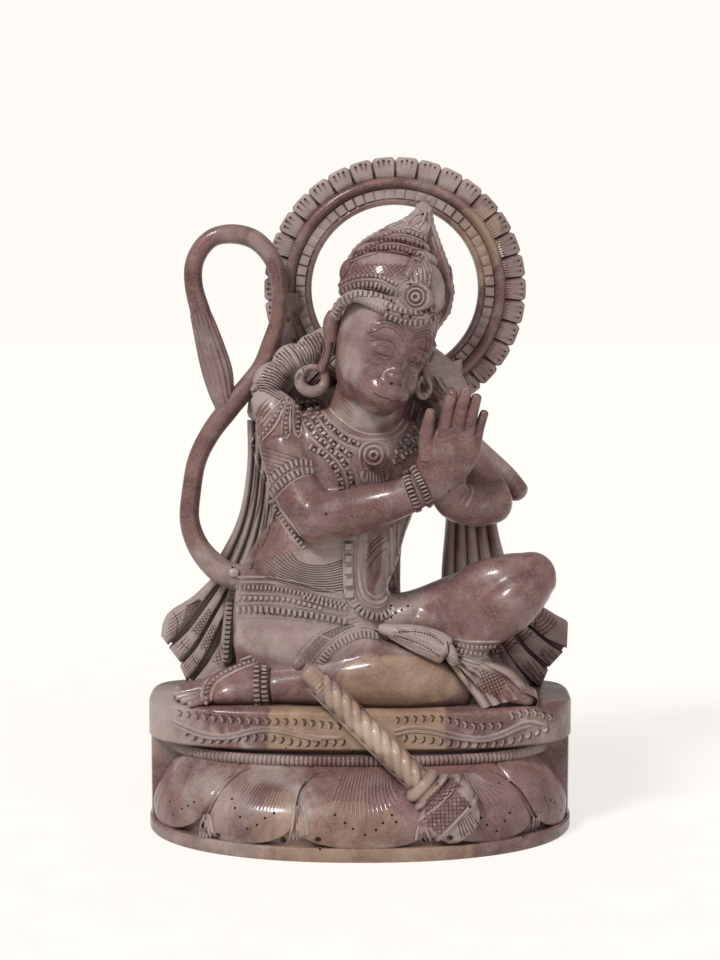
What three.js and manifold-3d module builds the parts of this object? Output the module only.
// Seated monkey deity with joined hands, a pierced halo and a looped tail, carved with its lotus plinth
// from one block of stone. Millimetres, +Z up, the figure faces -Y. The origin is on the table, under the
// middle of the plinth's footprint.
import * as THREE from 'three';
import { mergeVertices } from 'three/addons/utils/BufferGeometryUtils.js';
import Module from 'manifold-3d';

const wasm = await Module();
wasm.setup();

// Driving dimensions of the plinth
const PLINTH_WIDTH = 224;
const PLINTH_FRONT = 78;        // from the widest line to the foremost point of the rim
const PLINTH_BACK = 40;         // from the widest line to the back
const RIM_HEIGHT = 7;
const PETAL_HEIGHT = 34.5;
const BEAD_HEIGHT = 5.5;
const NECK_HEIGHT = 2.5;
const BAND_HEIGHT = 20.5;
const BAND_FRONT = 47;          // from the widest line to the front of the seat
const PETAL_TOP_FRONT = 51;     // the same for the top of the lotus petals
const PETAL_TOP_INSET = 11;     // how far the petals lean in at the sides
const NECK_INSET = 9;           // the shadow line between beads and band
const PETAL_RELIEF = 4.5;       // how far a petal stands out of the ground between petals
const BLOCK_INSET = 1;          // the plain side wall under the band
const BLOCK_FRONT = 12;         // how far the plain side wall comes forward of the widest line

// Driving dimensions of the figure and its halo
const FIGURE_HEIGHT = 256;      // seat to crown tip
const HALO_INNER = 44.5;        // radius of the opening
const HALO_LIP = 3;             // then, outwards, the widths of its four bands
const HALO_BEADS = 5.5;
const HALO_MOULDING = 6;
const HALO_TAB_LENGTH = 10.5;
const HALO_THICKNESS = 14;
const HALO_TABS = 34;
const HALO_NOTCH = 2;           // how far the edge steps in between two tabs
const HALO_SHOULDER = 0.16;     // the sloping corner of a tab, as a share of the pitch
const HALO_CENTRE = [18.6, 42, 283.6];
const CROWN_PLATE_FRONT = 5;    // the ribbed plate behind the crown
const CROWN_PLATE_BACK = 17;
const CROWN_PLATE_RIB = 0.95;   // how far its rim steps in between two ribs, as a share of its reach

// Driving dimensions of the mace across the front
const MACE_HANDLE_RADIUS = 6.7;
const MACE_HEAD_RADIUS = 17.4;
const MACE_RIBS = 9;
const MACE_RIB_RELIEF = 0.07;     // as a share of the handle's radius
const MACE_RIB_SLANT = 0.45;
const MACE_TOP = [-26, -2, 20];   // its upper end: across, in front of the band and above the seat
const MACE_NECK = [31, 13, 29];   // its neck: across, behind the petals' front and above the rim

// The figure was drawn on a seat 70 mm up and 256 mm tall; its pose keeps these shares at any height
const DRAWN_SEAT = 70;
const DRAWN_HEIGHT = 256;

// The joined stone is made lighter to this many triangles. Costs are in square millimetres, and no fold may
// leave a triangle lower than the least height or turn one past the least cosine.
const MOST_TRIANGLES = 9900;
const FOLD_LENGTH_COST = 1e-4;
const FOLD_FREE_COST = 1e-3;
const LEAST_HEIGHT = 0.05;
const LEAST_TURN = 0.3;
const MEND_ROUNDS = 12;

const PETAL_BASE = RIM_HEIGHT;
const BEAD_BASE = PETAL_BASE + PETAL_HEIGHT;
const NECK_BASE = BEAD_BASE + BEAD_HEIGHT;
const BAND_BASE = NECK_BASE + NECK_HEIGHT;
const SEAT_TOP = BAND_BASE + BAND_HEIGHT;
const WIDEST_Y = (PLINTH_FRONT - PLINTH_BACK) / 2;
const HALF_WIDTH = PLINTH_WIDTH / 2;
const FIGURE_SCALE = FIGURE_HEIGHT / DRAWN_HEIGHT;
const BEAD_INNER = HALO_INNER + HALO_LIP;
const BEAD_OUTER = BEAD_INNER + HALO_BEADS;
const TAB_ROOT = BEAD_OUTER + HALO_MOULDING;
const HALO_OUTER = TAB_ROOT + HALO_TAB_LENGTH;

const STONE = new THREE.MeshStandardMaterial({ color: 0x8a6a66, roughness: 0.42, metalness: 0 });

// A closed three.js geometry as a solid that can be joined and cut
function solidOf(geometry) {
  const bare = geometry.clone();
  bare.deleteAttribute('normal');
  bare.deleteAttribute('uv');
  const merged = mergeVertices(bare, 1e-4);
  return new wasm.Manifold(new wasm.Mesh({
    numProp: 3,
    vertProperties: new Float32Array(merged.attributes.position.array),
    triVerts: new Uint32Array(merged.index.array),
  }));
}

function geometryOf(solid) {
  const mesh = solid.getMesh();
  const geometry = new THREE.BufferGeometry();
  geometry.setAttribute('position', new THREE.Float32BufferAttribute(mesh.vertProperties, 3));
  geometry.setIndex(new THREE.Uint32BufferAttribute(mesh.triVerts, 1));
  return geometry;
}

// Catmull-Rom through rows of numbers, each number interpolated alike
function smoothRows(rows, steps) {
  const last = rows.length - 1;
  const out = [];
  for (let i = 0; i < last; i++) {
    const before = rows[Math.max(i - 1, 0)];
    const after = rows[Math.min(i + 2, last)];
    for (let step = 0; step < steps; step++) {
      const t = step / steps;
      out.push(rows[i].map((value, k) => {
        const next = rows[i + 1][k];
        const bend = 2 * before[k] - 5 * value + 4 * next - after[k];
        const twist = -before[k] + 3 * value - 3 * next + after[k];
        return value + 0.5 * t * (next - before[k] + t * (bend + t * twist));
      }));
    }
  }
  out.push(rows[last]);
  return out;
}

// Rings of equal length joined side by side and closed at both ends, by a fan to a tip or flat across
function loft(rings, startTip, endTip) {
  const count = rings[0].length;
  const positions = rings.flat(2);
  const index = [];
  for (let r = 0; r < rings.length - 1; r++) {
    for (let i = 0; i < count; i++) {
      const a = r * count + i;
      const b = r * count + (i + 1) % count;
      index.push(a, b, a + count, b, b + count, a + count);
    }
  }
  const top = (rings.length - 1) * count;
  if (startTip) {
    positions.push(...startTip);
    index.push(...rings[0].flatMap((_, i) => [positions.length / 3 - 1, (i + 1) % count, i]));
  } else {
    index.push(...capTriangles(rings[0]).flatMap(([a, b, c]) => [c, b, a]));
  }
  if (endTip) {
    positions.push(...endTip);
    index.push(...rings[0].flatMap((_, i) => [positions.length / 3 - 1, top + i, top + (i + 1) % count]));
  } else {
    index.push(...capTriangles(rings[rings.length - 1]).flat().map((v) => top + v));
  }
  return solidOfMesh(positions, index);
}

// Triangles across a flat ring, wound as the ring is
function capTriangles(ring) {
  const normal = [0, 0, 0];
  ring.forEach((p, i) => {
    const q = ring[(i + 1) % ring.length];
    normal[0] += (p[1] - q[1]) * (p[2] + q[2]);
    normal[1] += (p[2] - q[2]) * (p[0] + q[0]);
    normal[2] += (p[0] - q[0]) * (p[1] + q[1]);
  });
  const size = normal.map(Math.abs);
  const drop = size.indexOf(Math.max(...size));
  const [u, v] = [(drop + 1) % 3, (drop + 2) % 3];
  const flat = ring.map((p) => new THREE.Vector2(p[u], p[v]));
  return THREE.ShapeUtils.triangulateShape(flat, []).map(([a, b, c]) => {
    const turn = (flat[b].x - flat[a].x) * (flat[c].y - flat[a].y)
      - (flat[c].x - flat[a].x) * (flat[b].y - flat[a].y);
    return turn * normal[drop] >= 0 ? [a, b, c] : [a, c, b];
  });
}

function solidOfMesh(positions, index) {
  const geometry = new THREE.BufferGeometry();
  geometry.setAttribute('position', new THREE.Float32BufferAttribute(positions, 3));
  geometry.setIndex(index);
  return facingOut(geometry);
}

function facingOut(geometry) {
  const solid = solidOf(geometry);
  return solid.volume() < 0 ? solidOf(turnedInsideOut(geometry)) : solid;
}

function turnedInsideOut(geometry) {
  const index = Array.from(geometry.index.array);
  for (let i = 0; i < index.length; i += 3) {
    [index[i], index[i + 1]] = [index[i + 1], index[i]];
  }
  geometry.setIndex(index);
  return geometry;
}

// A limb along stations [x, y, z, half width, half depth]. Half width is measured in the picture plane,
// across the path, and half depth front to back. An end that shows is domed, and a buried one is flat.
function limb(stations, options = {}) {
  const { sides = 8, steps = 1, startDome = 0, endDome = 0.8 } = options;
  const { flutes = 0, slant = 0, ribs = 0, cuffs = [], onPlinth = false } = options;
  const full = stations.map((s) => (s.length > 4 ? s : [...s, s[3]]));
  const drawn = withCuffs(full, smoothRows(full, steps), steps, cuffs);
  const rows = onPlinth ? drawn
    : drawn.map((row) => [...placed(row), row[3] * FIGURE_SCALE, row[4] * FIGURE_SCALE]);
  const last = rows.length - 1;
  const rings = [];
  const tips = [];
  rows.forEach((row, i) => {
    const behind = rows[Math.max(i - 1, 0)];
    const ahead = rows[Math.min(i + 1, last)];
    const along = new THREE.Vector3(...ahead.slice(0, 3));
    along.sub(new THREE.Vector3(...behind.slice(0, 3))).normalize();
    const across = new THREE.Vector3(-along.z, 0, along.x).normalize();
    const deep = new THREE.Vector3().crossVectors(across, along);
    const swell = ribs && i > 0 && i < last ? 1 + ribs * (i % 2 ? 1 : -1) : 1;
    const pointAt = (w, d, lean) => [0, 1, 2].map((n) => row[n] + w * across.getComponent(n)
      + d * deep.getComponent(n) + lean * along.getComponent(n));
    const ringAt = (shift, shrink) => Array.from({ length: sides }, (_, k) => {
      const turn = (2 * Math.PI * k) / sides;
      const size = shrink * swell * (1 + flutes * (k % 2 ? -1 : 1));
      const w = row[3] * size * Math.cos(turn);
      return pointAt(w, row[4] * size * Math.sin(turn), shift + slant * w);
    });
    const reach = Math.min(row[3], row[4]);
    if (i === 0 && startDome) {
      tips[0] = pointAt(0, 0, -reach * startDome);
      rings.push(ringAt(-0.6 * reach * startDome, 0.72));
    }
    rings.push(ringAt(0, 1));
    if (i === last && endDome) {
      tips[1] = pointAt(0, 0, reach * endDome);
      rings.push(ringAt(0.6 * reach * endDome, 0.72));
    }
  });
  return loft(rings, tips[0], tips[1]);
}

// A drawn point [x, y, z, ...] of the figure, put on the seat at the figure's scale
function placed([x, y, z]) {
  return [x * FIGURE_SCALE, y * FIGURE_SCALE, SEAT_TOP + (z - DRAWN_SEAT) * FIGURE_SCALE];
}

// The rows of a limb with raised cuffs [from, to, raise] worked in, where from and to are station numbers
function withCuffs(stations, rows, steps, cuffs) {
  const rowAt = (u, raise) => {
    const i = Math.min(Math.floor(u), stations.length - 2);
    const row = smoothRows(stations, 20)[Math.round(u * 20)] ?? stations[i];
    return [row[0], row[1], row[2], row[3] + raise, row[4] + raise];
  };
  let marked = rows.map((row, i) => ({ u: i / steps, row }));
  for (const [from, to, raise] of cuffs) {
    const lip = 0.06;
    marked = marked.filter(({ u }) => u < from - lip || u > to + lip);
    marked.push({ u: from - lip, row: rowAt(from, 0) }, { u: from, row: rowAt(from, raise) },
      { u: to, row: rowAt(to, raise) }, { u: to + lip, row: rowAt(to, 0) });
  }
  return marked.sort((m, n) => m.u - n.u).map(({ row }) => row);
}

function ball([x, y, z], [rx, ry, rz], tilt = 0) {
  const geometry = new THREE.SphereGeometry(1, 8, 6);
  geometry.rotateX(Math.PI / 2);
  geometry.scale(rx * FIGURE_SCALE, ry * FIGURE_SCALE, rz * FIGURE_SCALE);
  geometry.rotateY(tilt);
  geometry.translate(...placed([x, y, z]));
  return solidOf(geometry);
}

// A disc or bowl turned about an axis that points at the viewer, from [radius, height] rows
function stud([x, y, z], profile, { sides = 9, yaw = 0 } = {}) {
  const points = profile.map(([r, h]) => new THREE.Vector2(r * FIGURE_SCALE, h * FIGURE_SCALE));
  const geometry = new THREE.LatheGeometry(points, sides);
  geometry.rotateX(Math.PI);
  geometry.rotateZ(yaw);
  geometry.translate(...placed([x, y, z]));
  return facingOut(geometry);
}

function hoop([x, y, z], { radius, tube, yaw, squash = 1 }) {
  const geometry = new THREE.TorusGeometry(radius * FIGURE_SCALE, tube * FIGURE_SCALE, 4, 10);
  geometry.rotateX(Math.PI / 2);
  geometry.scale(squash, 1, 1);
  geometry.rotateZ(yaw);
  geometry.translate(...placed([x, y, z]));
  return solidOf(geometry);
}

// A pleated cloth between a left and a right edge, rows of [left x, y, z, right x, y, z] from top to hem.
// The ridges stand forward by the relief.
function drape(edges, { pleats = 4, relief = 3, thickness = 7 } = {}) {
  const columns = 2 * pleats + 1;
  const rings = edges.map((row) => {
    const left = placed(row.slice(0, 3));
    const right = placed(row.slice(3, 6));
    const at = (i, front) => {
      const t = i / (columns - 1);
      const depth = front ? -relief * FIGURE_SCALE * (i % 2 ? 1 : -0.4) : thickness * FIGURE_SCALE;
      const [x, y, z] = left.map((v, k) => v + t * (right[k] - v));
      return [x, y + depth, z];
    };
    const face = Array.from({ length: columns }, (_, i) => at(i, true));
    return [...face, at(columns - 1, false), at(0, false)];
  });
  return loft(rings);
}

// The plinth's plan at a height: a superellipse, fuller or flatter, with its own front and back reach
function planPoint(angle, halfWidth, front, back, power) {
  const c = Math.sin(angle);
  const s = -Math.cos(angle);
  const reach = s < 0 ? front : back;
  const bend = s < 0 ? power : 5;
  return [
    halfWidth * Math.sign(c) * Math.abs(c) ** (2 / bend),
    WIDEST_Y + reach * Math.sign(s) * Math.abs(s) ** (2 / bend),
  ];
}

function slabOfPlan(levels, power, points = 36) {
  return loft(levels.map(([z, inset, front]) => Array.from({ length: points }, (_, i) => {
    const angle = (2 * Math.PI * i) / points;
    return [...planPoint(angle, HALF_WIDTH - inset, front, PLINTH_BACK - inset, power), z];
  })));
}

// Petals: where one ends and the next begins, as plan angles at the foot and at the top
const PETAL_EDGES = [[-87, -67], [-49, -36.5], [-17, -13], [19, 15], [55, 43], [87, 66]];
const PETAL_ROUNDING = 0.24;
const PETAL_SAMPLES = [0, 0.035, 0.11, 0.3, 0.5, 0.7, 0.89, 0.965];
const PETAL_LEVELS = [0, 0.06, 0.14, 0.25, 0.42, 0.62, 0.82, 1];

// How far in the surface lies at a place across (0 to 1) and up (0 to 1) a petal
function petalDip(across, up) {
  const rounding = Math.max(0, 1 - up / PETAL_ROUNDING);
  const halfWidth = Math.max(0.35, (1 - rounding ** 2.4) ** 0.5);
  const inside = 1 - Math.abs(2 * across - 1) / halfWidth;
  return inside <= 0 ? 1 : Math.max(0, 1 - inside / 0.16) ** 1.5 + 0.12 * (1 - inside) ** 2;
}

function petals() {
  const rings = [];
  for (const up of PETAL_LEVELS) {
    const lean = up < 0.25 ? 0.02 * (1 - up / 0.25) : ((up - 0.25) / 0.75) ** 2.1;
    const front = PLINTH_FRONT - 1 - lean * (PLINTH_FRONT - PETAL_TOP_FRONT);
    const halfWidth = HALF_WIDTH - 1 - lean * PETAL_TOP_INSET;
    const z = PETAL_BASE + up * PETAL_HEIGHT;
    const ring = [];
    for (let p = 0; p < PETAL_EDGES.length - 1; p++) {
      for (const across of PETAL_SAMPLES) {
        const edgeAt = ([foot, top]) => foot + up * (top - foot);
        const degrees = edgeAt(PETAL_EDGES[p]) * (1 - across) + edgeAt(PETAL_EDGES[p + 1]) * across;
        const dip = PETAL_RELIEF * petalDip(across, up) * (1 - 0.5 * up);
        const angle = THREE.MathUtils.degToRad(degrees);
        ring.push([...planPoint(angle, halfWidth - dip, front - dip, PLINTH_BACK, 2.15), z]);
      }
    }
    const [endX, endY] = planPoint(THREE.MathUtils.degToRad(88), halfWidth, front, PLINTH_BACK, 2.15);
    ring.push([endX, endY, z], [endX, WIDEST_Y + 12, z], [-endX, WIDEST_Y + 12, z]);
    rings.push(ring);
  }
  return loft(rings);
}

function beadRing() {
  const points = 68;
  const rise = [[0, 1.5], [0.5, 0], [1, 1.5]];
  return loft(rise.map(([up, inset]) => Array.from({ length: points }, (_, i) => {
    const angle = (2 * Math.PI * i) / points;
    const notch = i % 2 ? 1.2 : 0;
    const side = HALF_WIDTH - PETAL_TOP_INSET - inset - notch;
    return [...planPoint(angle, side, PETAL_TOP_FRONT - inset - notch, PLINTH_BACK - 8, 2.3),
      BEAD_BASE + up * BEAD_HEIGHT];
  })));
}

function plinth() {
  const rim = slabOfPlan([[0, 0, PLINTH_FRONT], [RIM_HEIGHT, 0, PLINTH_FRONT]], 2.2);
  const neck = slabOfPlan([[BEAD_BASE, PETAL_TOP_INSET + NECK_INSET, PETAL_TOP_FRONT - NECK_INSET],
    [BAND_BASE + 1, PETAL_TOP_INSET + NECK_INSET, PETAL_TOP_FRONT - NECK_INSET]], 2.4);
  const band = slabOfPlan([[BAND_BASE, 0, BAND_FRONT], [SEAT_TOP - 1.5, 0, BAND_FRONT],
    [SEAT_TOP, 1.5, BAND_FRONT - 1.5]], 2.7);
  const wall = slabOfPlan([[RIM_HEIGHT - 1, BLOCK_INSET, BAND_FRONT - BLOCK_INSET],
    [BAND_BASE + 1, BLOCK_INSET, BAND_FRONT - BLOCK_INSET]], 2.7);
  const keepBack = new THREE.BoxGeometry(PLINTH_WIDTH * 2, PLINTH_WIDTH, SEAT_TOP * 4);
  keepBack.translate(0, WIDEST_Y - BLOCK_FRONT + PLINTH_WIDTH / 2, 0);
  return rim.add(petals()).add(beadRing()).add(neck).add(band).add(wall.intersect(solidOf(keepBack)));
}

// The body
const TORSO = [[-20, 16, 70, 43, 25], [-23, 13, 105, 44, 26], [-22, 10, 124, 43, 25],
  [-18.5, 9, 138, 39, 23], [-14, 8.5, 146, 34.5, 22], [-10, 8, 152, 31.5, 21], [-7, 8, 160, 30.5, 21],
  [-5, 8, 170, 32, 21.5], [-3, 9, 185, 38, 22], [-1, 10, 201, 43, 22], [0, 12, 211, 38, 19],
  [1, 13, 219, 26, 15]];
const NECK = [[0, 8, 205, 21, 16], [3, 6, 219, 19, 16], [7, 4, 236, 18, 16]];
const RIGHT_UPPER_ARM = [[-40, 4, 208, 12.8], [-37, 2, 199, 14.5], [-33, -4, 184, 13.3],
  [-26, -12, 170, 12.8]];
const RIGHT_FOREARM = [[-23, -14, 167, 12.8], [-10, -20, 170, 12.5], [5, -26, 175, 11.5],
  [18, -30, 179, 10], [29, -33, 184, 9]];
const RIGHT_PALM = [[32, -33, 184, 9, 7], [40, -34, 195, 13, 7], [46, -34, 206, 15, 7],
  [49, -34, 213, 12.5, 6]];
const RIGHT_FINGERS = [
  [[34, -36, 200, 4.5], [33, -37, 211, 3.8], [34, -38, 218, 3.2], [35, -38, 224, 2.4]],
  [[41, -36, 207, 4], [43, -37, 221, 3.3], [46, -37, 233, 2.7]],
  [[47, -36, 208, 4.2], [50, -37, 224, 3.6], [53, -37, 235, 2.9]],
  [[53, -35, 207, 4], [55, -36, 220, 3.3], [58, -36, 231, 2.6]],
  [[57, -34, 204, 3.5], [59, -34, 214, 2.8], [62, -34, 223, 2.2]],
];
const LEFT_UPPER_ARM = [[42, 8, 207, 13.8], [53, 2, 195, 12.8], [66, -6, 178, 12.2]];
const LEFT_FOREARM = [[68, -8, 176, 12], [58, -15, 175, 11.5], [47, -23, 178, 9.5], [44, -26, 190, 10, 7],
  [48, -26, 205, 13, 6]];
const RIGHT_THIGH = [[-56, 12, 99, 15], [-44, 6, 101, 17], [-22, 0, 101, 17], [2, -4, 98, 15]];
const RIGHT_SHIN = [[-43, -4, 78, 9.6], [-26, -6, 80, 12], [-5, -8, 83, 16], [16, -9, 85, 18],
  [36, -8, 82, 15.5], [52, -6, 76, 9.6]];
const RIGHT_FOOT = [[-49, 0, 79, 10.6], [-62, 1, 79, 9.8], [-76, 4, 75, 6.5], [-88, 7, 72, 4]];
const LEFT_THIGH = [[14, 10, 108, 16], [30, 6, 113, 14.5], [46, 1, 120.5, 14], [62, -4, 128.5, 13.8],
  [77, -9, 135.8, 13], [89, -12, 140, 10]];
const LEFT_CALF = [[93, -13, 139.5, 8.6], [86, -16, 132.5, 12.5], [77, -17, 124, 14.6],
  [68, -16, 116, 13.4], [60.5, -14, 107, 10.5], [57, -12, 99, 8.4], [58, -10, 90, 7.5]];
const LEFT_KNEE = [[44, -2, 113, 13, 11], [53, -5, 118, 17, 12], [63, -9, 124.5, 19.5, 13],
  [75, -12, 129, 19.5, 13], [86, -13, 134, 15.5, 12], [92, -13, 138, 11, 10]];
const LAP = [[30, -2, 112, 10], [46, -4, 108, 11], [60, -8, 104, 8]];
const LEFT_FOOT = [[60, -10, 92, 7.5], [70, -12, 81, 8], [87, -12, 74, 5]];
const TAIL = [[-62, 15, 133, 7], [-75, 16, 137, 6.9], [-85, 18, 148, 5.9], [-90, 20, 162, 5.3],
  [-89, 22, 178, 5.1], [-86, 24, 194, 5.1], [-79, 24, 208, 5.3], [-70, 24, 220, 5.6], [-60, 24, 232, 5.3],
  [-52, 24, 243, 4.8], [-47, 24, 255, 4.8], [-43, 24, 268, 4.3], [-42, 24, 282, 4.3], [-44, 24, 295, 4.5],
  [-49, 24, 304, 4.8], [-56, 24, 310, 5.1], [-66, 24, 312.5, 5.1], [-76, 24, 311, 4.8],
  [-83, 24, 305, 4.8], [-87, 24, 296, 4.8], [-87, 24, 285, 4.8], [-84, 24, 273, 5.3],
  [-81, 24, 262, 6.2]];
const TAIL_TUFT = [[-84, 24, 272, 5.2], [-81, 24, 262, 6.4], [-78, 24, 251, 7.4], [-75, 24, 240, 7.7],
  [-73, 24, 230, 6.6], [-70, 25, 218, 4.4]];

// The toes of the viewer's right and left foot, as rows of a left and a right edge
const LEFT_TOES = [[82, -20, 79, 84, -4, 80], [91, -19, 75, 92, -4, 75], [91, -18, 70, 92, -4, 70]];
const RIGHT_TOES = [[-78, -4, 76, -80, 16, 77], [-96, -2, 73, -97, 16, 73], [-96, -2, 70, -97, 16, 70]];

function body() {
  return wasm.Manifold.union([
    limb(TORSO, { sides: 12, endDome: 0 }),
    limb(NECK, { endDome: 0 }),
    limb(RIGHT_UPPER_ARM, { cuffs: [[1.6, 2.2, 1.8]] }),
    limb(RIGHT_FOREARM, { startDome: 0.8, cuffs: [[3.1, 3.35, 1.8], [3.6, 3.85, 1.8]] }),
    limb(RIGHT_PALM),
    ...RIGHT_FINGERS.map((finger) => limb(finger, { sides: 5 })),
    limb(LEFT_UPPER_ARM),
    limb(LEFT_FOREARM, { startDome: 0.8, cuffs: [[1.6, 1.9, 1.5]] }),
    limb(RIGHT_THIGH, { startDome: 0.6 }),
    limb(RIGHT_SHIN, { sides: 10, steps: 2, startDome: 0.8 }),
    limb(RIGHT_FOOT, { cuffs: [[0.1, 0.5, 1.2]] }),
    limb(LEFT_THIGH, { sides: 9 }),
    limb(LEFT_CALF, { sides: 9, startDome: 0.8, cuffs: [[4.5, 5.2, 1.3]] }),
    limb(LEFT_KNEE, { sides: 9, startDome: 0.6 }),
    limb(LAP, { startDome: 0.6 }),
    limb(LEFT_FOOT),
    ...[LEFT_TOES, RIGHT_TOES].map((toes) => drape(toes, { pleats: 4, relief: 1.2, thickness: 5 })),
  ]);
}

function tail() {
  const rope = limb(TAIL, { sides: 7, endDome: 0 });
  const tuft = limb(TAIL_TUFT, { sides: 10, flutes: 0.08 });
  return rope.add(tuft);
}

// The head leans to the viewer's right and looks down past the hands. Its parts are drawn upright, facing
// -Y, about the middle of the skull, and turned together.
const HEAD_CENTRE = [11, -5, 254];
const HEAD_LEAN = 15;
const HEAD_YAW = 24;
const HEAD_NOD = 8;
const CROWN_NOD = -13;

function headTurn(geometry, nod = HEAD_NOD) {
  geometry.rotateX(THREE.MathUtils.degToRad(nod));
  geometry.rotateZ(THREE.MathUtils.degToRad(HEAD_YAW));
  geometry.rotateY(THREE.MathUtils.degToRad(HEAD_LEAN));
  geometry.scale(FIGURE_SCALE, FIGURE_SCALE, FIGURE_SCALE);
  geometry.translate(...placed(HEAD_CENTRE));
  return geometry;
}

function headBall([x, y, z], [rx, ry, rz]) {
  const geometry = new THREE.SphereGeometry(1, 10, 7);
  geometry.rotateX(Math.PI / 2);
  geometry.scale(rx, ry, rz);
  geometry.translate(x, y, z);
  return solidOf(headTurn(geometry));
}

function headTurned(profile, [x, y, z], { depth = 1, sides = 11, nod = HEAD_NOD } = {}) {
  const geometry = new THREE.LatheGeometry(profile.map(([r, h]) => new THREE.Vector2(r, h)), sides);
  geometry.rotateX(Math.PI / 2);
  geometry.scale(1, depth, 1);
  geometry.translate(x, y, z);
  return facingOut(headTurn(geometry, nod));
}

// Face and skull, then the crown's tiers, as [radius, height] about the middle of the skull
const SKULL = [[0, -31], [8.5, -30.5], [14.5, -26.5], [19.5, -17], [23, -3], [24.3, 10], [24, 19],
  [22, 27], [0, 29]];
const CROWN = [[0, 14], [22, 14], [26, 19], [24.8, 22], [27, 25], [27.2, 32], [25, 39], [22, 44],
  [20, 44.2], [20.4, 47.4], [17.8, 50.6], [16, 50.8], [15.8, 53.6], [12.6, 56.4], [11, 56.6], [9.6, 60],
  [5, 64], [0, 66]];
const CROWN_BAND = [[-11.5, -9, 270, 3], [-9.5, -17, 277, 3.4], [-3, -24, 281, 3.6], [5, -28.5, 279.5, 3.8],
  [14, -30.5, 274.5, 4], [23, -29, 270.5, 4], [31, -20, 268, 3.8], [36, -8, 267, 3.4]];

// Cheeks, muzzle, nose and brows, each a centre and three radii
const FACE = [[[0, -16, -13], [17, 13, 17]], [[0, -21.5, -18], [12.5, 10.5, 9.5]], [[0, -21.5, 2],
  [4.2, 7, 13]], [[-11, -18.5, 11], [10.5, 6.5, 5.5]], [[11, -18.5, 11], [10.5, 6.5, 5.5]]];

function head() {
  return wasm.Manifold.union([
    headTurned(SKULL, [0, 0, 0], { depth: 1.06, sides: 12 }),
    ...FACE.map(([centre, radii]) => headBall(centre, radii)),
    headTurned(CROWN, [0, -1, 1], { nod: CROWN_NOD }),
    limb(CROWN_BAND, { sides: 6 }),
  ]);
}

// Behind the crown stands a ribbed plate, in the plane of the halo, drawn up to a point at the crown's tip
const CROWN_PLATE = [[-6, 266], [-9, 284], [-7.7, 298], [-3.5, 305], [2, 310], [9.5, 314.3], [17, 317.5],
  [25, 322], [30, 326], [37, 326], [38.4, 317], [42.5, 306], [47, 294], [49, 283], [47, 272], [41, 263.5],
  [30, 258], [8, 258], [-6, 266]];
const CROWN_PLATE_CENTRE = [18.3, 284.5];

function crownPlate() {
  const [cx, cz] = CROWN_PLATE_CENTRE;
  const outline = smoothRows(CROWN_PLATE, 3).slice(1);
  const rim = outline.map(([x, z], i) => {
    const reach = i % 2 ? CROWN_PLATE_RIB : 1;
    return [(x - cx) * reach, (z - cz) * reach];
  });
  const layers = [[CROWN_PLATE_FRONT, 0.96], [CROWN_PLATE_BACK, 1]];
  return loft(layers.map(([y, share]) => rim.map(([x, z]) => placed([cx + x * share, y, cz + z * share]))));
}

// A round emblem with its ring and stud, as [radius, height], its plume, and the curl beside it
const EMBLEM_PLACE = [28, -26, 280.5];
const EMBLEM = [[0, -8], [7.5, -8], [7.5, 2], [4.5, 1], [2.5, 3.6], [0, 3.6]];
const EMBLEM_YAW = 0.35;
const PLUME = [[28, -24, 286, 6, 4], [29, -20, 294, 7, 4], [30, -14, 302, 4, 3]];
const CURL = [[17, -27, 278, 3, 4], [21, -28, 272, 4, 4], [26, -28, 268, 4, 4], [32, -24, 270, 3, 4]];
// The knob beside the crown, and the crown's tip, which touches the halo
const KNOB_PLACE = [-6.6, -4, 294];
const KNOB = [3.6, 8, 6];
const KNOB_TILT = 0.35;
const TIP = [[24, 4, 307, 9, 8], [28, 6, 313.5, 8, 7], [31.5, 11, 319, 6.5, 6], [33, 20, 322.5, 5, 4],
  [33.3, 30, 325, 4.2, 3.5], [33.3, 38, 326.5, 4.2, 3.5]];
// The near ear, what hangs from both, and the big rings
const EAR = [[-14, 3, 257, 4, 4], [-14.5, 3, 266, 4.6, 4], [-13, 3, 271, 4, 3]];
const EAR_LOBES = [[[-15, 3, 262, 3], [-17, 1, 251, 2.6], [-20, 0, 243, 2.6]], [[33, 2, 253, 3],
  [33, 2, 246, 2.6], [33, 2, 239, 2.4]]];
const NEAR_RING_PLACE = [-24.5, -1, 238];
const NEAR_RING = { radius: 6.2, tube: 2.4, yaw: 0.3 };
const FAR_RING_PLACE = [32.5, 2, 234];
const FAR_RING = { radius: 5, tube: 2.2, yaw: 0.5, squash: 0.75 };
// Locks of hair on the shoulders
const NEAR_LOCK = [[-53, 16, 229, 7, 8], [-45.5, 13, 237, 11.5, 9], [-36, 14, 246.5, 10.5, 9],
  [-27, 15, 252, 10, 9], [-17, 16, 257, 8, 8]];
const HANGING_LOCK = [[-50, 12, 228, 8, 8], [-43, 4, 219, 12, 8], [-41, 3, 209, 12, 9],
  [-40, 2, 201, 12, 9]];
const FAR_LOCK = [[28, 24, 246, 12, 12], [40, 22, 237, 12, 11], [47, 20, 226, 11, 10], [50, 18, 212, 9, 9]];

function headDress() {
  return wasm.Manifold.union([
    crownPlate(),
    stud(EMBLEM_PLACE, EMBLEM, { sides: 10, yaw: EMBLEM_YAW }),
    limb(PLUME),
    limb(CURL),
    ball(KNOB_PLACE, KNOB, KNOB_TILT),
    limb(TIP, { sides: 7 }),
    limb(EAR, { sides: 5 }),
    ...EAR_LOBES.map((lobe) => limb(lobe, { sides: 5 })),
    hoop(NEAR_RING_PLACE, NEAR_RING),
    hoop(FAR_RING_PLACE, FAR_RING),
    limb(NEAR_LOCK, { sides: 9, startDome: 0.5 }),
    limb(HANGING_LOCK),
    limb(FAR_LOCK),
  ]);
}

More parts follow.
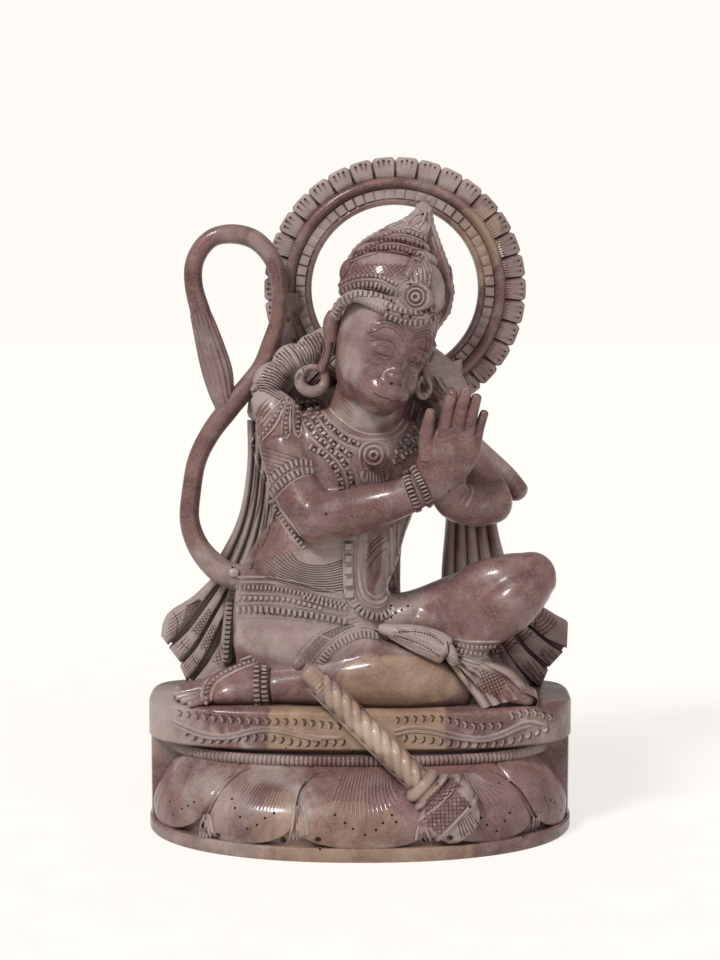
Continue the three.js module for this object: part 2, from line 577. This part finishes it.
// Halo: a moulded ring with a beaded band, a round moulding and a border of tabs, built as one body from
// loops that run round it: each loop is [radius, depth], and the two outermost step in between tabs
function halo() {
  const [x, y, z] = placed(HALO_CENTRE);
  const half = HALO_THICKNESS / 2;
  const at = (turn, r, h) => [x + r * Math.sin(turn) * FIGURE_SCALE, y + h * half * FIGURE_SCALE,
    z + r * Math.cos(turn) * FIGURE_SCALE];
  const pitch = (2 * Math.PI) / HALO_TABS;
  const plain = (r, h) => Array.from({ length: HALO_TABS }, (_, i) => at(i * pitch, r, h));
  const toothed = (h) => Array.from({ length: HALO_TABS }, (_, i) => [
    at(i * pitch, HALO_OUTER - HALO_NOTCH, h), at((i + HALO_SHOULDER) * pitch, HALO_OUTER, h),
    at((i + 1 - HALO_SHOULDER) * pitch, HALO_OUTER, h)]).flat();
  const loops = [plain(HALO_INNER, 1), plain(HALO_INNER, -0.6), plain(BEAD_INNER - 0.6, -0.8),
    plain(BEAD_INNER, -0.5), plain(BEAD_OUTER, -0.5), plain(BEAD_OUTER + 1, -0.9),
    plain(TAB_ROOT - 1, -0.9), toothed(-0.6), toothed(0.7), plain(HALO_INNER, 1)];
  return bridged(loops);
}

// Closed loops joined one to the next, where one loop may have a whole number of times as many points
function bridged(loops) {
  const positions = loops.flat(2);
  const index = [];
  let start = 0;
  for (let r = 0; r < loops.length - 1; r++) {
    const few = Math.min(loops[r].length, loops[r + 1].length);
    const [m, n] = [loops[r].length / few, loops[r + 1].length / few];
    const next = start + loops[r].length;
    const here = (i) => start + i % loops[r].length;
    const there = (i) => next + i % loops[r + 1].length;
    for (let i = 0; i < few; i++) {
      for (let k = 0; k < m; k++) {
        index.push(here(i * m + k), here(i * m + k + 1), there(i * n));
      }
      for (let k = 0; k < n; k++) {
        index.push(here((i + 1) * m), there(i * n + k + 1), there(i * n + k));
      }
    }
    start = next;
  }
  return solidOfMesh(positions, index);
}

// The shawl: pleats behind both shoulders, flaring to fans beside the seat
const SHAWL_LEFT = [[-60, 30, 214, -40, 26, 214], [-60, 32, 193, -42, 28, 196],
  [-63, 35, 171, -44, 28, 168], [-68, 37, 155, -47, 28, 148], [-77, 38, 138, -50, 28, 130]];
const FAN_LEFT = [[-78, 35, 136, -50, 27, 136], [-84, 36, 122, -56, 30, 118], [-98, 34, 104, -60, 30, 100],
  [-107, 33, 94, -64, 28, 86], [-96, 33, 74, -66, 28, 70]];
const SHAWL_RIGHT = [[46, 24, 182, 72, 22, 182], [46, 30, 160, 73, 28, 159], [44, 33, 129, 80, 33, 133],
  [50, 32, 108, 99, 34, 112], [58, 30, 88, 110.5, 34, 98], [64, 30, 70, 98, 33, 71]];
const CLOTH_ON_BACK = [[-4, 32, 232, 40, 9], [-6, 34, 205, 46, 10], [-10, 33, 175, 40, 9],
  [-16, 33, 145, 38, 9], [-22, 40, 70, 46, 11]];
const ROLL_OVER_ELBOW = [[44, 20, 216, 6, 8], [63, 16, 199, 5.5, 8], [76, 12, 187, 5.5, 8],
  [82, 9, 179, 6, 8]];
const CLOTH_BEHIND_ELBOW = [[50, 18, 200, 8, 8], [66, 14, 182, 10, 8], [64, 24, 166, 9, 8]];
// Stone left standing between halo, tail and shoulders
const LEFT_STAY = [[-38, 40, 282, 7, 6], [-40, 40, 262, 9, 6], [-46, 34, 240, 11, 8],
  [-48, 30, 218, 12, 8]];
const RIGHT_STAY = [[30, 36, 238, 26, 9], [36, 34, 222, 20, 9], [44, 28, 206, 12, 8]];

function shawl() {
  return wasm.Manifold.union([
    drape(SHAWL_LEFT, { pleats: 5, relief: 2.5, thickness: 9 }),
    ...[FAN_LEFT, SHAWL_RIGHT].map((edges) => drape(edges, { pleats: 5, thickness: 10 })),
    limb(CLOTH_ON_BACK, { sides: 10, endDome: 0 }),
    limb(ROLL_OVER_ELBOW),
    limb(CLOTH_BEHIND_ELBOW),
    limb(LEFT_STAY),
    limb(RIGHT_STAY, { sides: 10 }),
  ]);
}

// Cords and rows of ornament laid on the body: necklaces, garland, girdle, the garment's edge and the anklet
const CORDS = [
  [[-28, 0, 227, 2], [-25, -8, 218, 2], [-15, -12, 209, 2], [-3, -14, 205, 2], [10, -12, 206, 2],
    [21, -6, 212, 2], [27, 2, 222, 2]],
  [[-36, 4, 224, 2.6], [-34, -2, 214, 2.6], [-27, -9, 206, 2.6], [-19, -12, 200, 2.6], [-11, -13, 195, 2.6],
    [-7, -14, 186, 2.6]],
  [[-8, -14, 168, 3, 4], [-7, -13, 159, 3, 4], [-6, -13, 140, 3, 4], [-4, -15, 124, 3, 4],
    [1, -16, 118, 3, 4], [8, -16, 117, 3, 4], [14, -15, 121, 3, 4], [16, -12, 135, 3, 4],
    [17, -12, 150, 3, 4], [18, -12, 164, 3, 4]],
  [[-65, 12, 131, 3], [-56, -3, 131, 3], [-46, -10, 129, 3], [-26, -14, 126, 3], [-6, -15, 124, 3]],
  [[-66, 12, 119, 2.4], [-58, -4, 119, 2.4], [-46, -11, 118, 2.4], [-26, -14, 117, 2.4], [-6, -14, 116, 2.4]],
  [[-34, -14, 88, 2.4], [-27, -16, 98, 2.4], [-16, -15, 107, 2.4], [-4, -14, 112, 2.4]],
  [[-54, -6, 92, 2, 3], [-63, -7, 88, 2, 3], [-75, -4, 83, 2, 3], [-80, -3, 76, 2, 3], [-80, -3, 71, 2, 3]],
];
const PENDANT_PLACE = [7, -15, 200];
const PENDANT = [[0, -5], [6, -5], [6, 2], [3.4, 1], [0, 3.4]];
const PENDANT_TASSEL = [[7, -14, 193, 4, 3], [7, -14, 184, 3, 3]];
// The sash over the folded knee, its knot and its fan
const SASH = [[10, -12, 109, 3.5, 4], [17, -14, 107, 6, 5], [26, -17, 104.5, 8, 5], [34, -18, 102, 8, 5],
  [41, -19, 99, 7, 5], [46, -20, 95, 4.5, 5]];
const KNOT_PLACE = [47, -21, 97];
const KNOT = [4.5, 4, 5];
const SASH_FAN = [[44, -18, 95, 50, -16, 101], [52, -19, 84, 66, -16, 94], [59, -20, 75, 80, -16, 87],
  [62, -21, 70, 88, -16, 76]];

function dress() {
  return wasm.Manifold.union([
    ...CORDS.map((cord) => limb(cord, { sides: 5 })),
    stud(PENDANT_PLACE, PENDANT),
    limb(PENDANT_TASSEL, { sides: 5 }),
    limb(SASH),
    ball(KNOT_PLACE, KNOT),
    drape(SASH_FAN, { pleats: 4, relief: 2.2, thickness: 10 }),
  ]);
}

// The mace leans across the front of the plinth, half sunk in band and petals. Its head is drawn as
// [distance past the neck, share of the head's radius]
const MACE_HEAD = [[-3, 0.4], [-1.5, 0.58], [0.8, 0.6], [2, 0.5], [4.5, 0.73], [7.5, 0.7], [10.5, 0.95],
  [16, 1], [21.5, 0.87], [23.5, 0.72], [29, 0.64], [33, 0.34]];

function mace() {
  const bandFace = WIDEST_Y - BAND_FRONT;
  const petalFace = WIDEST_Y - PLINTH_FRONT;
  const start = new THREE.Vector3(MACE_TOP[0], bandFace + MACE_TOP[1], SEAT_TOP + MACE_TOP[2]);
  const neck = new THREE.Vector3(MACE_NECK[0], petalFace + MACE_NECK[1], RIM_HEIGHT + MACE_NECK[2]);
  const handle = [];
  for (let i = 0; i <= 2 * MACE_RIBS; i++) {
    const t = i / (2 * MACE_RIBS);
    handle.push([...start.clone().lerp(neck, t), MACE_HANDLE_RADIUS * (0.82 + 0.18 * Math.min(1, 4 * t))]);
  }
  const down = new THREE.Vector3(neck.x - start.x, 0, neck.z - start.z).normalize();
  const headStations = MACE_HEAD.map(([past, share]) => {
    const radius = share * MACE_HEAD_RADIUS;
    return [...neck.clone().addScaledVector(down, past), radius, Math.min(radius, 0.45 * radius + 4.3)];
  });
  const shaft = limb(handle, { sides: 7, ribs: MACE_RIB_RELIEF, slant: MACE_RIB_SLANT, startDome: 0.9,
    endDome: 0, onPlinth: true });
  return shaft.add(limb(headStations, { sides: 11, endDome: 0.3, onPlinth: true }));
}

// The joined stone is made lighter by folding edges away, cheapest first. Each vertex carries the squared
// distances to the planes of its faces, and a fold may not turn a face over or pinch the surface.

function planeTerms(a, b, c) {
  const normal = new THREE.Vector3().subVectors(b, a).cross(new THREE.Vector3().subVectors(c, a));
  const area = normal.length() / 2;
  normal.normalize();
  const [x, y, z] = normal;
  const w = -normal.dot(a);
  return [x * x, x * y, x * z, x * w, y * y, y * z, y * w, z * z, z * w, w * w].map((term) => term * area);
}

function shapeOf(a, b, c) {
  const normal = new THREE.Vector3().subVectors(b, a).cross(new THREE.Vector3().subVectors(c, a));
  const longest = Math.max(a.distanceTo(b), b.distanceTo(c), c.distanceTo(a));
  return { height: normal.length() / longest, normal: normal.normalize() };
}

function planeCost(q, { x, y, z }) {
  return q[0] * x * x + 2 * q[1] * x * y + 2 * q[2] * x * z + 2 * q[3] * x + q[4] * y * y + 2 * q[5] * y * z
    + 2 * q[6] * y + q[7] * z * z + 2 * q[8] * z + q[9];
}

class Folding {
  constructor(geometry) {
    const at = geometry.attributes.position;
    this.points = Array.from({ length: at.count }, (_, i) => new THREE.Vector3().fromBufferAttribute(at, i));
    this.faces = [];
    this.around = this.points.map(() => new Set());
    this.terms = this.points.map(() => new Array(10).fill(0));
    this.age = this.points.map(() => 0);
    const index = geometry.index.array;
    for (let i = 0; i < index.length; i += 3) {
      const face = [index[i], index[i + 1], index[i + 2]];
      this.faces.push(face);
      const terms = planeTerms(...face.map((v) => this.points[v]));
      for (const v of face) {
        this.around[v].add(this.faces.length - 1);
        this.terms[v] = this.terms[v].map((term, k) => term + terms[k]);
      }
    }
    this.queue = [];
    for (const face of this.faces) {
      face.forEach((v, k) => v < face[(k + 1) % 3] && this.weigh(v, face[(k + 1) % 3]));
    }
  }

  neighbours(v) {
    const near = new Set();
    this.around[v].forEach((f) => this.faces[f].forEach((n) => near.add(n)));
    near.delete(v);
    return near;
  }

  // The cheapest of the two ends and the middle of an edge goes into the queue, a binary heap
  weigh(u, v) {
    const terms = this.terms[u].map((term, k) => term + this.terms[v][k]);
    const [a, b] = [this.points[u], this.points[v]];
    const length = a.distanceToSquared(b);
    let best = null;
    for (const place of [a, b, new THREE.Vector3().addVectors(a, b).multiplyScalar(0.5)]) {
      const cost = planeCost(terms, place) + FOLD_LENGTH_COST * length;
      if (!best || cost < best.cost) {
        best = { cost, place };
      }
    }
    const { queue } = this;
    queue.push({ ...best, u, v, ageU: this.age[u], ageV: this.age[v], terms });
    let i = queue.length - 1;
    while (i > 0 && queue[(i - 1) >> 1].cost > queue[i].cost) {
      [queue[i], queue[(i - 1) >> 1]] = [queue[(i - 1) >> 1], queue[i]];
      i = (i - 1) >> 1;
    }
  }

  cheapest() {
    const { queue } = this;
    const first = queue[0];
    const last = queue.pop();
    if (queue.length) {
      queue[0] = last;
      let i = 0;
      for (;;) {
        let low = i;
        for (const child of [2 * i + 1, 2 * i + 2]) {
          if (child < queue.length && queue[child].cost < queue[low].cost) {
            low = child;
          }
        }
        if (low === i) {
          break;
        }
        [queue[i], queue[low]] = [queue[low], queue[i]];
        i = low;
      }
    }
    return first;
  }

  turnsOver(v, place, gone) {
    for (const f of this.around[v]) {
      if (!gone.has(f)) {
        const was = shapeOf(...this.faces[f].map((n) => this.points[n]));
        const is = shapeOf(...this.faces[f].map((n) => (n === v ? place : this.points[n])));
        const thinner = is.height < LEAST_HEIGHT && is.height < was.height;
        if (thinner || (was.height > LEAST_HEIGHT && was.normal.dot(is.normal) < LEAST_TURN)) {
          return true;
        }
      }
    }
    return false;
  }

  // A face with almost no height gives its longest edge for the other diagonal, or folds its shortest edge
  mendSlivers() {
    let mended = 0;
    this.faces.forEach((face, f) => {
      if (!face || shapeOf(...face.map((n) => this.points[n])).height > LEAST_HEIGHT) {
        return;
      }
      const length = (k) => this.points[face[k]].distanceToSquared(this.points[face[(k + 1) % 3]]);
      const order = [0, 1, 2].sort((m, n) => length(n) - length(m));
      const [a, b, c] = [0, 1, 2].map((k) => face[(order[0] + k) % 3]);
      const g = [...this.around[a]].find((n) => n !== f && this.around[b].has(n));
      const d = this.faces[g].find((n) => n !== a && n !== b);
      const flat = shapeOf(...this.faces[g].map((n) => this.points[n]));
      const made = [[a, d, c], [d, b, c]];
      const good = made.every((corners) => {
        const shape = shapeOf(...corners.map((n) => this.points[n]));
        return shape.height > LEAST_HEIGHT && shape.normal.dot(flat.normal) > LEAST_TURN;
      });
      if (good && !this.neighbours(c).has(d)) {
        [this.faces[f], this.faces[g]] = made;
        this.around[b].delete(f);
        this.around[a].delete(g);
        this.around[d].add(f);
        this.around[c].add(g);
        mended += 1;
        return;
      }
      const [u, v] = [face[order[2]], face[(order[2] + 1) % 3]];
      for (const place of [this.points[u], this.points[v]]) {
        if (this.fold({ u, v, place, terms: this.terms[u] })) {
          mended += 1;
          return;
        }
      }
    });
    return mended;
  }

  fold({ u, v, place, terms }) {
    const shared = new Set([...this.around[u]].filter((f) => this.around[v].has(f)));
    const near = this.neighbours(v);
    const common = [...this.neighbours(u)].filter((n) => near.has(n));
    if (shared.size !== 2 || common.length !== 2 || this.turnsOver(u, place, shared)
      || this.turnsOver(v, place, shared)) {
      return 0;
    }
    for (const f of shared) {
      this.faces[f].forEach((n) => this.around[n].delete(f));
      this.faces[f] = null;
    }
    for (const f of this.around[u]) {
      this.faces[f] = this.faces[f].map((n) => (n === u ? v : n));
      this.around[v].add(f);
    }
    this.around[u] = new Set();
    this.points[v] = place;
    this.terms[v] = terms;
    this.age[u] += 1;
    this.age[v] += 1;
    this.neighbours(v).forEach((n) => this.weigh(v, n));
    return 2;
  }

  // Folds until few enough faces are left and what remains would cost something
  run(mostTriangles) {
    let count = this.faces.length;
    while (this.queue.length) {
      const edge = this.cheapest();
      if (count <= mostTriangles && edge.cost > FOLD_FREE_COST) {
        break;
      }
      if (edge.ageU === this.age[edge.u] && edge.ageV === this.age[edge.v]) {
        count -= this.fold(edge);
      }
    }
    for (let round = 0; round < MEND_ROUNDS && this.mendSlivers() > 0;) {
      round += 1;
    }
    const geometry = new THREE.BufferGeometry();
    const index = this.faces.filter((face) => face).flat();
    const positions = this.points.flatMap((p) => [...p]);
    geometry.setAttribute('position', new THREE.Float32BufferAttribute(positions, 3));
    geometry.setIndex(index);
    return geometry;
  }
}

const solid = wasm.Manifold.union([plinth(), body(), tail(), head(), headDress(), halo(), shawl(), dress(),
  mace()]);

const statue = new THREE.Mesh(new Folding(geometryOf(solid)).run(MOST_TRIANGLES), STONE);
statue.name = 'hanuman_statue';

const root = new THREE.Group();
root.add(statue);

export default root;
